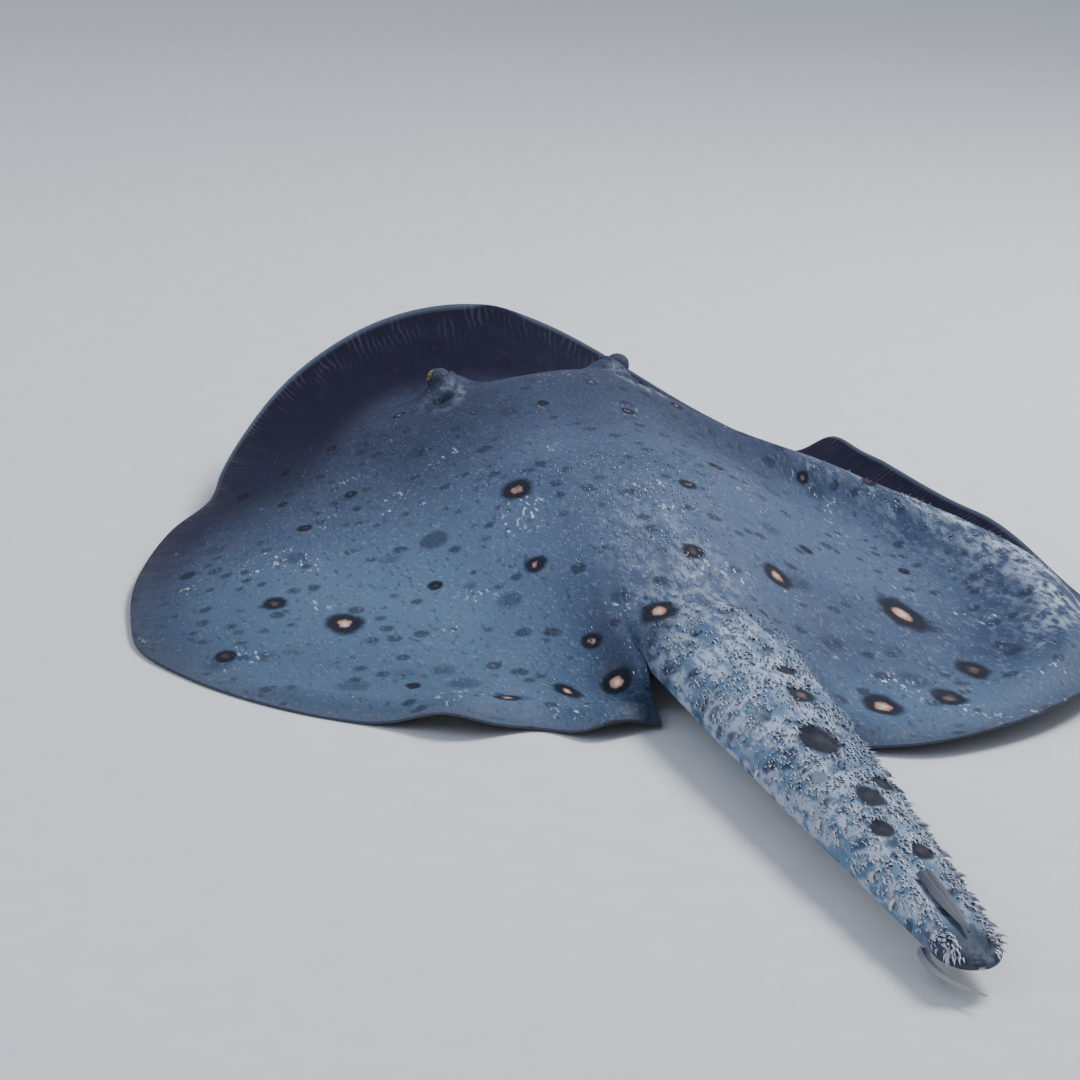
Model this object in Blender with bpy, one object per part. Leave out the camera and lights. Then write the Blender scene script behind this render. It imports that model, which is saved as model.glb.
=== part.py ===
"""Ocellate river stingray, a life-size still model lying on the floor.

The whole animal is one plan, drawn as it would lie flat, with a height above and
below each point. pose() then curls the snout's rim up and waves the wings. Each
sub-part is a piece of that plan, closed into a solid by slab().

Plan coordinates and heights are in disc widths; +Y is towards the snout, +X is
the animal's right. The solids are in metres, resting on z = 0.
"""
import math
import random

import bmesh
import bpy
import numpy as np
from mathutils import Vector

# Driving sizes
DISC_WIDTH = 0.500          # of the disc laid flat, in metres
GAP = 0.00034               # between neighbouring solids, in metres
DEG = math.pi / 180

# Plan of the disc, in disc widths
LOBE_CORNER = 171.8 * DEG   # direction of the wing's rear inner corner
FAN_RADIUS = 0.012          # of the small ring that the wing's columns start from
FAN_END = 115 * DEG         # behind this, columns start from the tail root's side
NOTCH = (0.067, -0.400)     # where the wing's inner margin meets the tail
EYE = (0.094, 0.250)
SPIRACLE = (0.110, 0.200)
HEAD_ANGLE = 36 * DEG       # the head is the front sector between these directions
WING_SPLIT = 96 * DEG       # between the front and rear half of a wing

# Heights, in disc widths
EDGE = 0.0012               # half the thickness of the thinnest edge
WING_THICK = 0.046
BODY_THICK = 0.088
EYE_HUMP = 0.023
SPIRACLE_DEPTH = 0.010
CREASE_DEPTH = 0.004
PELVIC_THICK = 0.0065

# Tail, in disc widths
TAIL_TIP = -0.995
TAIL_CUTS = (-0.60, -0.80)  # between its three lengths
TAIL_ROOT_LEVEL = 0.043     # height of the side line at the root
TAIL_TIP_LEVEL = 0.026
TAIL_ABOVE = 0.55           # height above the side line, per half width
TAIL_BELOW = 0.31
GROOVE_START = 0.83         # of the sting's groove, behind the disc's middle
GROOVE_DEPTH = 0.0055
GROOVE_WIDTH = 0.011
STING_ROOT = -0.885
STING_TIP = -0.970
STING_WIDTH = 0.012
STING_THICK = 0.0060
OLD_STING_ROOT = (-0.022, -0.944, 0.0158)
OLD_STING_LENGTH = 0.068
THORN = 0.0045              # height of a thorn on the back, in metres
FLANK_THORN = 0.0060
FLANK_THORN_START = -0.70

EYE_RADIUS = 0.0135
EYE_OUT = 0.0085            # from the top of its hump
EYE_DOWN = 0.0085


def smooth(x, low, high):
    """0 below low, 1 above high, with a smooth step between."""
    t = np.clip((x - low) / (high - low), 0.0, 1.0)
    return t * t * (3 - 2 * t)


def bump(x, middle, width):
    return np.exp(-((x - middle) / width) ** 2)


# The plan

def polar(x, y):
    """Direction from the snout line, and distance as a share of the disc's edge."""
    angle = np.arctan2(x, y)
    return angle, np.hypot(x, y) / envelope(angle)


def envelope(angle):
    """The disc's radius as if it had no notches for the tail."""
    return 0.5 + 0.055 * smooth(np.abs(angle), 75 * DEG, 165 * DEG)


def rim_radius(angle):
    snout_knob = 0.010 * bump(angle, 0, 2.6 * DEG)
    rounding = 0.022 * smooth(np.abs(angle), 161 * DEG, LOBE_CORNER) ** 2
    return envelope(angle) + snout_knob - rounding


def tail_half_width(y):
    t = np.clip((NOTCH[1] - y) / (NOTCH[1] - TAIL_TIP), 0, 1)
    width = NOTCH[0] * (1 - 0.49 * t - 0.17 * t ** 2)
    return width * np.sqrt(1 - 0.97 * np.clip((t - 0.955) / 0.045, 0, 1) ** 2)


def column_root(angle):
    """Where a wing's column starts: the small ring, then the tail root's side."""
    fan = min(angle, FAN_END)
    share = max(0.0, (angle - FAN_END) / (LOBE_CORNER - FAN_END)) ** 1.2
    ring = np.array((math.sin(fan), math.cos(fan))) * FAN_RADIUS
    return ring * (1 - share) + np.array(NOTCH) * share


def wing_column(angle, shares, side):
    """Points on one column of a wing; a share is 0 at its root and 1 at the rim."""
    root = column_root(angle)
    rim = rim_radius(angle) * np.array((math.sin(angle), math.cos(angle)))
    points = root + (rim - root) * np.asarray(shares)[:, None]
    return points * (side, 1)


def trunk_share(angle):
    """How far out along a column the trunk reaches."""
    return float(0.34 - 0.04 * smooth(angle, 40 * DEG, 90 * DEG)
                 - 0.27 * smooth(angle, 100 * DEG, LOBE_CORNER))


# Heights of the animal lying flat

def body_dome(x, y):
    along = smooth(-y, -0.42, -0.18) * (1 - 0.42 * smooth(-y, 0.0, 0.36))
    along = along * (1 - smooth(-y, 0.24, 0.48))
    half_width = 0.20 - 0.06 * smooth(-y, 0, 0.35)
    return BODY_THICK * along * np.exp(-np.abs(x / half_width) ** 2.6)


def head_relief(x, y):
    def spot(place, reach):
        return np.exp(-((np.abs(x) - place[0]) ** 2 + (y - place[1]) ** 2) / reach ** 2)
    return EYE_HUMP * spot(EYE, 0.026) - SPIRACLE_DEPTH * spot(SPIRACLE, 0.020)


def crease(x, y):
    """The valley between a wing and the tail's root."""
    return CREASE_DEPTH * bump(np.abs(x), 0.112, 0.026) * smooth(-y, 0.14, 0.30)


def tail_level(y):
    t = np.clip((NOTCH[1] - y) / (NOTCH[1] - TAIL_TIP), 0, 1)
    return TAIL_ROOT_LEVEL + (TAIL_TIP_LEVEL - TAIL_ROOT_LEVEL) * t


def heights(x, y, on_tail):
    """Heights of the upper and the lower surface above the floor."""
    distance = polar(x, y)[1]
    wing = WING_THICK * np.clip(1 - distance ** 2.2, 0, 1) ** 1.15
    disc = wing + body_dome(x, y) + head_relief(x, y) - crease(x, y)
    disc = disc * np.where(on_tail, 1 - smooth(-y, -NOTCH[1], 0.10 - NOTCH[1]), 1)

    half_width = tail_half_width(y)
    level = tail_level(y)
    round_part = np.sqrt(np.clip(1 - (x / half_width) ** 2, 0, 1))
    inside = np.abs(x) <= half_width
    beside = 1 - smooth(np.abs(x) - half_width, 0, 0.07)
    beside = beside * np.where(on_tail, 1, smooth(y, NOTCH[1] - 0.13, NOTCH[1]) ** 1.4)
    groove = GROOVE_DEPTH * bump(x, 0, GROOVE_WIDTH) * smooth(-y, GROOVE_START, GROOVE_START + 0.05)
    crown = np.where(inside, level + EDGE + TAIL_ABOVE * half_width * round_part - groove,
                     (level + EDGE) * beside) * smooth(-y, 0.12, 0.42)
    top = (np.maximum(disc, 0) ** 4 + crown ** 4) ** 0.25

    keel = np.where(inside, level - EDGE - TAIL_BELOW * half_width * round_part,
                    (level - EDGE) * beside)
    sole = np.maximum(keel * smooth(-y, 0.31, -NOTCH[1]), pelvic_vault(x, y, on_tail))
    return np.maximum(top, sole + 2 * EDGE), sole


def pelvic_vault(x, y, on_tail):
    """The hollow under the disc that holds a pelvic fin."""
    lateral = smooth(np.abs(x), 0.050, 0.066)
    vault = (PELVIC_THICK + 0.0016) * lateral * smooth(-y, 0.315, 0.345)
    return np.where(on_tail, 0, vault * (1 - smooth(np.hypot(x, y), 0.505, 0.535)))


# The pose

def wing_share(x, y, on_tail):
    """1 where the pose bends the wings, 0 on the tail and its root."""
    lateral = smooth(np.abs(x), 0.055, 0.20)
    lobe = np.where(on_tail, 0, smooth(NOTCH[1] - y, 0, 0.10))
    return 1 - smooth(-y, 0.15, 0.35) * (1 - lateral) * (1 - lobe)


def pose_lift(x, y, on_tail):
    """How far the pose raises each point of the plan."""
    angle, distance = polar(x, y)
    turn = angle / DEG
    right = smooth(turn, 0, 20)
    near_rim = smooth(distance, 0.75, 1.0)

    curl = 0.135 * np.exp(-((turn + 6) / np.where(turn < -6, 36.0, 27.5)) ** 2)
    curl = curl * np.clip((distance - 0.5) / 0.5, 0, 1) ** 1.8
    head = 0.022 * smooth(y, 0.0, 0.30)

    left_arch = 0.022 * bump(turn, -75, 45) * bump(distance, 0.68, 0.22)
    left_arch = left_arch * smooth(distance, 0.25, 0.5)
    left_rim = 0.006 * bump(turn, -85, 22) * near_rim
    waves = 0.020 * bump(turn, -151, 5) + 0.015 * bump(turn, -167, 4) + 0.006 * bump(turn, 165, 9)
    waves = waves * near_rim

    crest = 0.050 * bump(turn, 70 + 150 * (distance - 0.5), 18)
    crest = crest * smooth(distance, 0.35, 0.6) * (1 - 0.5 * smooth(distance, 0.85, 1.0))
    fold = 0.024 * bump(turn, 55, 6) * near_rim
    far_rim = 0.038 * smooth(turn, 46, 68) * (1 - smooth(turn, 88, 112))
    far_rim = far_rim * np.clip((distance - 0.76) / 0.24, 0, 1) ** 1.5
    lift = curl + head + left_arch + left_rim + waves + right * (crest + fold + far_rim)
    return lift * wing_share(x, y, on_tail)


REACH = (  # direction in degrees, how far the waved wing reaches from the middle
    (-180, 0.87), (-171, 0.875), (-165, 0.895), (-159, 0.868), (-153, 0.93), (-147, 0.94),
    (-135, 0.975), (-122, 1.00), (-113, 1.005), (-105, 0.968), (-90, 0.905), (-76, 0.85),
    (-66, 0.802), (-57, 0.825), (-48, 0.86), (-30, 0.945), (-12, 1.00), (15, 1.00),
    (30, 0.93), (45, 0.86), (60, 0.81), (85, 0.82), (100, 0.89), (115, 0.97),
    (128, 1.01), (145, 1.05), (165, 1.04), (180, 1.00),
)


def curve_through(stops, x):
    """A smooth curve through the stops."""
    place, value = np.array(stops).T
    slope = np.gradient(value, place)
    i = np.clip(np.searchsorted(place, x) - 1, 0, len(place) - 2)
    span = place[i + 1] - place[i]
    t = (x - place[i]) / span
    bend = t * (1 - t) ** 2 * slope[i] - t ** 2 * (1 - t) * slope[i + 1]
    return value[i] + t ** 2 * (3 - 2 * t) * (value[i + 1] - value[i]) + span * bend


def head_turn(x, y):
    """How far the head is moved sideways, and its right side turned forwards and raised."""
    share = smooth(y, 0.05, 0.22) * (1 - smooth(polar(x, y)[1], 0.62, 0.88))
    right_side = share * smooth(x, -EYE[0], EYE[0])
    return -0.006 * share, 0.020 * right_side, 0.012 * right_side


def pose(x, y, z, on_tail):
    """From the flat animal, in disc widths, to the model, in metres."""
    angle, distance = polar(x, y)
    reach = curve_through(REACH, angle / DEG)
    scale = 1 - (1 - reach) * smooth(distance, 0.25, 1.0) * wing_share(x, y, on_tail)
    lean = 0.02 * bump(angle / DEG, 0, 35) * np.clip((distance - 0.55) / 0.45, 0, 1) ** 1.5
    aside, ahead, raised = head_turn(x, y)
    height = z + pose_lift(x, y, on_tail) + raised
    points = np.stack([x * scale + lean + aside, y * scale + ahead, height], axis=-1)
    return points * DISC_WIDTH


# From plan to solid

class Plan:
    """Points and faces seen from above, anticlockwise, with shared corners welded."""

    def __init__(self, on_tail=False):
        self.points = []
        self.faces = []
        self.places = {}
        self.on_tail = on_tail

    def point(self, xy):
        key = (round(float(xy[0]), 7), round(float(xy[1]), 7))
        if key not in self.places:
            self.places[key] = len(self.points)
            self.points.append(key)
        return self.places[key]

    def face(self, corners):
        ring = []
        for corner in corners:
            index = self.point(corner)
            if index not in ring:
                ring.append(index)
        if len(ring) < 3:
            return
        xy = np.array([self.points[i] for i in ring])
        following = np.roll(xy, -1, axis=0)
        area = np.sum(xy[:, 0] * following[:, 1] - xy[:, 1] * following[:, 0])
        self.faces.append(ring if area > 0 else ring[::-1])

    def grid(self, rows):
        for near, far in zip(rows[:-1], rows[1:]):
            for i in range(len(near) - 1):
                self.face([near[i], near[i + 1], far[i + 1], far[i]])

    def outline(self):
        """Outer edges, each with the plan on its left."""
        used = {(f[i - 1], f[i]) for f in self.faces for i in range(len(f))}
        return [(a, b) for a, b in used if (b, a) not in used]

    def inset(self):
        """Draws the outline in by half a gap, so that neighbours don't touch."""
        xy = np.array(self.points)
        inward = np.zeros_like(xy)
        for a, b in self.outline():
            along = (xy[b] - xy[a]) / np.linalg.norm(xy[b] - xy[a])
            normal = np.array((-along[1], along[0]))
            inward[a] += normal
            inward[b] += normal
        length = np.linalg.norm(inward, axis=1)
        moved = length > 1e-6
        inward[moved] /= length[moved, None]
        return xy + inward * GAP / 2 / DISC_WIDTH


def slab(name, plan, material, heights_at=heights):
    """A closed solid between the plan's upper and lower surface."""
    xy = plan.inset()
    outline = plan.outline()
    top, sole = heights_at(xy[:, 0], xy[:, 1], plan.on_tail)
    upper = pose(xy[:, 0], xy[:, 1], top, plan.on_tail)
    lower = pose(xy[:, 0], xy[:, 1], sole, plan.on_tail)
    count = len(xy)
    faces = [tuple(f) for f in plan.faces]
    faces += [tuple(i + count for i in reversed(f)) for f in plan.faces]
    faces += [(a, a + count, b + count, b) for a, b in outline]
    return solid(name, np.concatenate([upper, lower]), faces, material)


def solid(name, points, faces, material):
    mesh = bpy.data.meshes.new(name)
    mesh.from_pydata([tuple(p) for p in points], [], faces)
    mesh.materials.append(material)
    mesh.shade_smooth()
    mesh.set_sharp_from_angle(angle=50 * DEG)
    made = bpy.data.objects.new(name, mesh)
    bpy.context.scene.collection.objects.link(made)
    return made


def finish(name, colour, roughness, coat=0.0):
    material = bpy.data.materials.new(name)
    material.use_nodes = True
    shader = material.node_tree.nodes["Principled BSDF"]
    shader.inputs["Base Color"].default_value = (*colour, 1)
    shader.inputs["Roughness"].default_value = roughness
    shader.inputs["Coat Weight"].default_value = coat
    return material


# The sub-parts

HEAD_COLUMNS = [HEAD_ANGLE * i / 13 for i in range(14)]
FRONT_COLUMNS = [HEAD_ANGLE + (WING_SPLIT - HEAD_ANGLE) * i / 12 for i in range(13)]
REAR_COLUMNS = [WING_SPLIT + (LOBE_CORNER - WING_SPLIT) * (1 - (1 - i / 16) ** 1.15)
                for i in range(17)]
ACROSS = [math.sin(math.pi / 2 * (2 * i / 12 - 1)) for i in range(13)]


def outer_shares(angle, count):
    """Shares from the trunk's edge to the rim, closer together near the rim."""
    start = trunk_share(angle)
    return [start + (1 - start) * (1 - (1 - i / count) ** 1.15) for i in range(count + 1)]


def make_head(skin, eye):
    plan = Plan()
    for side in (-1, 1):
        plan.grid([wing_column(a, outer_shares(a, 17), side) for a in HEAD_COLUMNS])
    head = slab("head", plan, skin)
    for side, label in ((-1, "left"), (1, "right")):
        centre = eye_centre(side)
        ball = ball_object(label + "_eye", centre, EYE_RADIUS * DISC_WIDTH, eye)
        socket = ball_object(label + "_socket_cutter", centre, EYE_RADIUS * DISC_WIDTH + GAP, eye)
        socket.hide_render = True
        socket.display_type = "WIRE"
        cut = head.modifiers.new(label + "_socket", "BOOLEAN")
        cut.operation = "DIFFERENCE"
        cut.solver = "EXACT"
        cut.object = socket
        ball.rotation_euler = (0, side * 62 * DEG, 0)
    return head


def eye_centre(side):
    hump = np.array((side * EYE[0], EYE[1]))
    top = heights(hump[0], hump[1], False)[0]
    return pose(hump[0] + side * EYE_OUT, hump[1], top - EYE_DOWN, False)


def ball_object(name, centre, radius, material):
    mesh = bpy.data.meshes.new(name)
    shape = bmesh.new()
    bmesh.ops.create_uvsphere(shape, u_segments=14, v_segments=9, radius=radius)
    shape.to_mesh(mesh)
    shape.free()
    mesh.materials.append(material)
    mesh.shade_smooth()
    made = bpy.data.objects.new(name, mesh)
    made.location = centre
    bpy.context.scene.collection.objects.link(made)
    return made


def make_trunk(skin):
    plan = Plan()
    columns = HEAD_COLUMNS + FRONT_COLUMNS[1:] + REAR_COLUMNS[1:]
    for side in (-1, 1):
        plan.grid([wing_column(a, [trunk_share(a) * i / 4 for i in range(5)], side)
                   for a in columns])
    behind = [a for a in columns if a >= FAN_END]
    roots = [column_root(FAN_END)] + [column_root(a) for a in behind]
    plan.grid([[(root[0] * q, root[1]) for q in ACROSS] for root in roots])
    fan = [column_root(a) for a in columns if a < FAN_END] + [roots[0]]
    loop = fan + [(roots[0][0] * q, roots[0][1]) for q in ACROSS[-2:0:-1]]
    loop += [(-x, y) for x, y in fan[::-1]]
    middle = (0.0, 0.0)
    for a, b in zip(loop[:-1], loop[1:]):
        plan.face([middle, a, b])
    # The column before the fan's end meets its last point along the ring
    last = [a for a in columns if a < FAN_END][-1]
    first = behind[0]
    for side in (-1, 1):
        ends = [column_root(last), roots[0], column_root(first)]
        plan.face([(x * side, y) for x, y in ends])
    return slab("trunk", plan, skin)


def make_wings(skin):
    for side, label in ((-1, "left"), (1, "right")):
        for half, columns in (("front", FRONT_COLUMNS), ("rear", REAR_COLUMNS)):
            plan = Plan()
            plan.grid([wing_column(a, outer_shares(a, 10), side) for a in columns])
            slab(f"{label}_pectoral_fin_{half}", plan, skin)


def make_pelvic_fins(skin):
    def fin_heights(x, y, _on_tail):
        reach = np.hypot(np.abs(x) - 0.085, y + 0.365) / 0.135
        thick = PELVIC_THICK * (1 - 0.6 * smooth(reach, 0.1, 1.0))
        floor = -pose_lift(x, y, False)
        return floor + thick, floor

    for side, label in ((-1, "left"), (1, "right")):
        plan = Plan()
        rows = []
        for i in range(11):
            turn = (78 + 100 * i / 10) * DEG
            length = 0.100 + 0.034 * math.sin(math.pi * (i / 10) ** 1.4)
            rows.append([(side * (0.085 + r * math.sin(turn)), -0.365 + r * math.cos(turn))
                         for r in (0.012 + (length - 0.012) * j / 5 for j in range(6))])
        plan.grid(rows)
        slab(f"{label}_pelvic_fin", plan, skin, fin_heights)


def make_tail(skin):
    cuts = (NOTCH[1],) + TAIL_CUTS + (TAIL_TIP,)
    names = ("tail_base", "tail_middle", "tail_end")
    thorn_shares = (0.10, 0.35, 0.55)
    dice = random.Random(7)
    for name, share, start, end in zip(names, thorn_shares, cuts[:-1], cuts[1:]):
        crowding = 1.5 if end == TAIL_TIP else 1.0
        rows = []
        for i in range(10):
            y = start + (end - start) * (1 - (1 - i / 9) ** crowding)
            rows.append([(tail_half_width(y) * q, y) for q in ACROSS])
        plan = Plan(on_tail=True)
        plan.grid(rows)
        length = slab(name, plan, skin)
        grow_thorns(length, dice, share)


def grow_thorns(length, dice, share):
    """Raises some faces of the tail's back and flanks into thorns that lean backwards."""
    shape = bmesh.new()
    shape.from_mesh(length.data)
    shape.normal_update()
    end_faces = {f for f in shape.faces if abs(f.normal.y) > 0.8}
    ends = {v.index for f in end_faces for v in f.verts}
    taken = set(ends)
    for face in list(shape.faces):
        centre = face.calc_center_median()
        corners = {v.index for v in face.verts}
        upward = face.normal.z > -0.05 and len(corners) == 4
        by_sting = abs(centre.x) < 0.014 * DISC_WIDTH and centre.y < STING_ROOT * DISC_WIDTH
        by_old_sting = centre.x < 0 and centre.y < (OLD_STING_ROOT[1] + 0.02) * DISC_WIDTH
        bare = by_sting or by_old_sting
        if not upward or bare or taken & corners or dice.random() > share:
            continue
        taken |= corners
        flank = abs(face.normal.x) > 0.7 and centre.y < FLANK_THORN_START * DISC_WIDTH
        height = FLANK_THORN if flank else THORN
        direction = face.normal.copy()
        bmesh.ops.inset_individual(shape, faces=[face], thickness=0.2 * face.calc_area() ** 0.5)
        tip = bmesh.ops.poke(shape, faces=[face])["verts"][0]
        tip.co += direction * height + Vector((0, -0.7 * height, 0))
    shape.to_mesh(length.data)
    shape.free()
    length.data.set_sharp_from_angle(angle=50 * DEG)


def spine(name, route, half_widths, half_depths, bone):
    """A solid along a route of points, six-sided, flattened, ending narrow."""
    points = []
    for centre, half_width, half_depth in zip(route, half_widths, half_depths):
        for k in range(6):
            turn = k * math.pi / 3
            points.append((centre[0] + half_width * math.cos(turn), centre[1],
                           centre[2] + half_depth * math.sin(turn)))
    last = 6 * (len(route) - 1)
    faces = [tuple(range(5, -1, -1)), tuple(range(last, last + 6))]
    for i in range(len(route) - 1):
        for k in range(6):
            a, b = 6 * i + k, 6 * i + (k + 1) % 6
            faces.append((a, b, b + 6, a + 6))
    return solid(name, np.array(points) * DISC_WIDTH, faces, bone)


def make_stings(bone):
    """One blade in the groove of the tail's back, and an old one beside the tip."""
    shares = np.linspace(0, 1, 11)
    y = STING_ROOT + (STING_TIP - STING_ROOT) * shares
    back = heights(np.zeros_like(y), y, True)[0]
    half_depths = STING_THICK / 2 * (1 - 0.7 * shares)
    route = np.stack([0 * y, y, back + half_depths + 0.0016 + 0.002 * shares], axis=-1)
    half_widths = STING_WIDTH / 2 * (1 - shares ** 2.2) + 0.0012
    spine("sting", route, half_widths, half_depths, bone)

    start = np.array(OLD_STING_ROOT)
    reach = OLD_STING_LENGTH * shares
    inward = 9.0 * reach ** 2 - 0.33 * reach
    route = start + np.stack([inward, -reach, -0.05 * reach], axis=-1)
    spine("old_sting", route, 0.0042 * (1 - shares ** 1.6) + 0.0009,
          0.0034 * (1 - shares ** 1.6) + 0.0009, bone)


def set_on_origin():
    """Brings the middle of the whole model's underside to the origin."""
    made = list(bpy.context.scene.objects)
    bpy.context.view_layer.update()
    corners = np.array([piece.matrix_world @ v.co for piece in made for v in piece.data.vertices])
    low = corners.min(axis=0)
    high = corners.max(axis=0)
    middle = Vector(((low[0] + high[0]) / 2, (low[1] + high[1]) / 2, 0))
    for piece in made:
        piece.location -= middle


def build():
    for old in list(bpy.data.objects):
        bpy.data.objects.remove(old)
    skin = finish("skin", (0.10, 0.095, 0.105), 0.42, coat=0.3)
    bone = finish("thorn_and_sting", (0.55, 0.50, 0.42), 0.45)
    eye = finish("eye", (0.02, 0.018, 0.012), 0.08, coat=1.0)
    make_head(skin, eye)
    make_trunk(skin)
    make_wings(skin)
    make_pelvic_fins(skin)
    make_tail(skin)
    make_stings(bone)
    set_on_origin()


build()
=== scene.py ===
import math
import random

import bpy
import numpy as np
from mathutils import Matrix, Vector, noise


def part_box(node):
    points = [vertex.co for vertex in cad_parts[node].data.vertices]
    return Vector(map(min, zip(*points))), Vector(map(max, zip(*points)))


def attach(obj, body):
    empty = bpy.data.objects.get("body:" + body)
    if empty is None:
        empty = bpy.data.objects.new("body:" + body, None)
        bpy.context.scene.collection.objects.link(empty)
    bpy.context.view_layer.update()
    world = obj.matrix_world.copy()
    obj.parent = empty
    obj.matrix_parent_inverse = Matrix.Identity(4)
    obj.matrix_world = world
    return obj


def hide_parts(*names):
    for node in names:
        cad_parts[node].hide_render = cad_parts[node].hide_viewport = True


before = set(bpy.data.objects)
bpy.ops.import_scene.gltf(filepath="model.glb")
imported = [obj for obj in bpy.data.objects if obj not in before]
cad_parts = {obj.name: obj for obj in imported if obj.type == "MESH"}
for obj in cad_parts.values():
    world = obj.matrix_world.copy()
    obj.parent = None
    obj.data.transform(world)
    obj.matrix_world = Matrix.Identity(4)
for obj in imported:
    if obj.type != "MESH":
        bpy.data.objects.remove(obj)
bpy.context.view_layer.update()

# The looks of an ocellate river stingray, lying on the floor.
# Plan coordinates and heights are in disc widths, with +Y towards the snout and +X
# the animal's right, as it would lie flat. pose() curls and waves it, in metres.

# ---------------------------------------------------------------- driving sizes

DISC_WIDTH = 0.500
DEG = math.pi / 180
MM = 0.001 / DISC_WIDTH     # a millimetre, in disc widths

LOBE_CORNER = 171.8 * DEG   # direction of the rear lobe's inner corner
FAN_RADIUS = 0.012          # the plan's columns start on this ring, as far as FAN_END
FAN_END = 115 * DEG
NOTCH = (0.067, -0.400)     # where a wing meets the tail
EYE = (0.094, 0.250)
SPIRACLE = (0.110, 0.200)

EDGE = 0.0012               # half the least thickness
WING_THICK = 0.046
BODY_THICK = 0.088
EYE_HUMP = 0.023
CREASE_DEPTH = 0.004
PELVIC_THICK = 0.0065

TAIL_TIP = -0.995
TAIL_ROOT_LEVEL = 0.043
TAIL_TIP_LEVEL = 0.026
TAIL_ABOVE = 0.55
TAIL_BELOW = 0.31
GROOVE_START = 0.83
GROOVE_DEPTH = 0.0055
GROOVE_WIDTH = 0.011
STING_ROOT = -0.885
STING_TIP = -0.970
STING_WIDTH = 0.012
STING_THICK = 0.0060
OLD_STING_ROOT = (-0.022, -0.944, 0.0158)
OLD_STING_LENGTH = 0.068

EYE_RADIUS = 0.0135
EYE_OUT = 0.0085

sting_low, sting_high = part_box("sting")
SHIFT = np.array(((sting_low.x + sting_high.x) / 2, sting_high.y - STING_ROOT * DISC_WIDTH, 0))


def smooth(x, low, high):
    """0 below low, 1 above high, with a smooth step between."""
    t = np.clip((x - low) / (high - low), 0.0, 1.0)
    return t * t * (3 - 2 * t)


def bump(x, middle, width):
    return np.exp(-((x - middle) / width) ** 2)


# ---------------------------------------------------------------- the plan

def envelope(angle):
    return 0.5 + 0.055 * smooth(np.abs(angle), 75 * DEG, 165 * DEG)


def polar(x, y):
    """Direction from the snout line, and distance as a share of the disc's edge."""
    angle = np.arctan2(x, y)
    return angle, np.hypot(x, y) / envelope(angle)


def rim_radius(angle):
    snout_knob = 0.010 * bump(angle, 0, 2.6 * DEG)
    rounding = 0.022 * smooth(np.abs(angle), 161 * DEG, LOBE_CORNER) ** 2
    return envelope(angle) + snout_knob - rounding


def tail_half_width(y):
    t = np.clip((NOTCH[1] - y) / (NOTCH[1] - TAIL_TIP), 0, 1)
    width = NOTCH[0] * (1 - 0.49 * t - 0.17 * t ** 2)
    return width * np.sqrt(1 - 0.97 * np.clip((t - 0.955) / 0.045, 0, 1) ** 2)


def column_root(angle):
    fan = min(angle, FAN_END)
    share = max(0.0, (angle - FAN_END) / (LOBE_CORNER - FAN_END)) ** 1.2
    ring = np.array((math.sin(fan), math.cos(fan))) * FAN_RADIUS
    return ring * (1 - share) + np.array(NOTCH) * share


def wing_column(angle, shares, side):
    root = column_root(angle)
    rim = rim_radius(angle) * np.array((math.sin(angle), math.cos(angle)))
    points = root + (rim - root) * np.asarray(shares)[:, None]
    return points * (side, 1)


def is_tail(x, y):
    return (y < NOTCH[1] - 1e-9) & (np.abs(x) < NOTCH[0])


# ---------------------------------------------------------------- heights, lying flat

def body_dome(x, y):
    along = smooth(-y, -0.42, -0.18) * (1 - 0.42 * smooth(-y, 0.0, 0.36))
    along = along * (1 - smooth(-y, 0.24, 0.48))
    half_width = 0.20 - 0.06 * smooth(-y, 0, 0.35)
    return BODY_THICK * along * np.exp(-np.abs(x / half_width) ** 2.6)


def about(x, y, place, turn=0.0):
    """Coordinates outwards and forwards from a place that both sides have."""
    out = np.abs(x) - place[0]
    ahead = y - place[1]
    cos, sin = math.cos(turn), math.sin(turn)
    return out * cos + ahead * sin, ahead * cos - out * sin


def spiracle_ring(x, y):
    """1 on the rim of a spiracle, 0 at its middle."""
    out, ahead = about(x, y, SPIRACLE, 28 * DEG)
    return np.hypot(out / 0.011, ahead / 0.017)


def head_relief(x, y):
    out, ahead = about(x, y, EYE)
    hump = EYE_HUMP * np.exp(-(out ** 2 + ahead ** 2) / 0.026 ** 2)
    ring = spiracle_ring(x, y)
    pit = 0.026 * (1 - smooth(ring, 0.35, 1.05)) - 0.0016 * bump(ring, 1.25, 0.35)
    from_ball = np.hypot(out - EYE_OUT, ahead)
    lid = 0.0020 * bump(from_ball, EYE_RADIUS * 1.02, 0.0022)
    crease = 0.0012 * bump(from_ball, EYE_RADIUS * 1.45, 0.0022)
    return hump - pit + lid - crease


def crease(x, y):
    """The valley between a wing and the tail's root."""
    return CREASE_DEPTH * bump(np.abs(x), 0.112, 0.026) * smooth(-y, 0.14, 0.30)


def tail_level(y):
    t = np.clip((NOTCH[1] - y) / (NOTCH[1] - TAIL_TIP), 0, 1)
    return TAIL_ROOT_LEVEL + (TAIL_TIP_LEVEL - TAIL_ROOT_LEVEL) * t


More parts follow.
